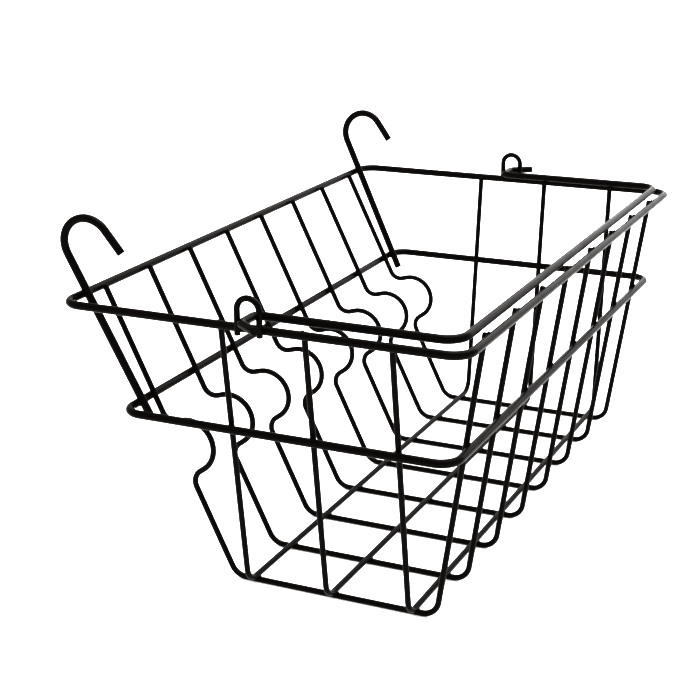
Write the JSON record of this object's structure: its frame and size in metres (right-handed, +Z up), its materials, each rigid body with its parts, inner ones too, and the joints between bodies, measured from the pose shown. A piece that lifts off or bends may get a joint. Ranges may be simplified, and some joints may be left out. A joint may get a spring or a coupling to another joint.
{
  "type": "handlebar basket",
  "caption": "Welded steel wire basket with sloping walls, two open hooks over a bicycle handlebar, a channel bent into the rear wall and a folding wire bail.",
  "frame": {"origin": "middle of the footprint, on the surface that the floor wires stand on", "axes": "+X along the handlebar, -Y the front of the basket, +Y the hooks' side, +Z up"},
  "size_m": [0.3938, 0.222, 0.1892],
  "materials": {
    "rim_paint": "semi-gloss black paint on steel wire",
    "mesh_paint": "semi-gloss black paint on steel wire",
    "hook_paint": "semi-gloss black paint on steel wire",
    "bail_paint": "semi-gloss black paint on steel wire"
  },
  "bodies": {
    "basket": {"top_rim": "rim_paint", "middle_rim": "rim_paint", "cross_wire_1": "mesh_paint", "cross_wire_2": "mesh_paint", "cross_wire_3": "mesh_paint", "cross_wire_4": "mesh_paint", "cross_wire_5": "mesh_paint", "cross_wire_6": "mesh_paint", "cross_wire_7": "mesh_paint", "cross_wire_8": "mesh_paint", "long_wire_1": "mesh_paint", "long_wire_2": "mesh_paint", "long_wire_3": "mesh_paint", "left_hook": "hook_paint", "right_hook": "hook_paint", "left_eyelet": "mesh_paint", "right_eyelet": "mesh_paint"},
    "bail": {"bail_handle": "bail_paint"}
  },
  "joints": [
    {"name": "bail_swing", "type": "hinge", "parent": "basket", "child": "bail", "pos_m": [0, -0.00161, 0.1515], "axis": [-1, 0, 0], "range_deg": [0, 156.8]}
  ]
}
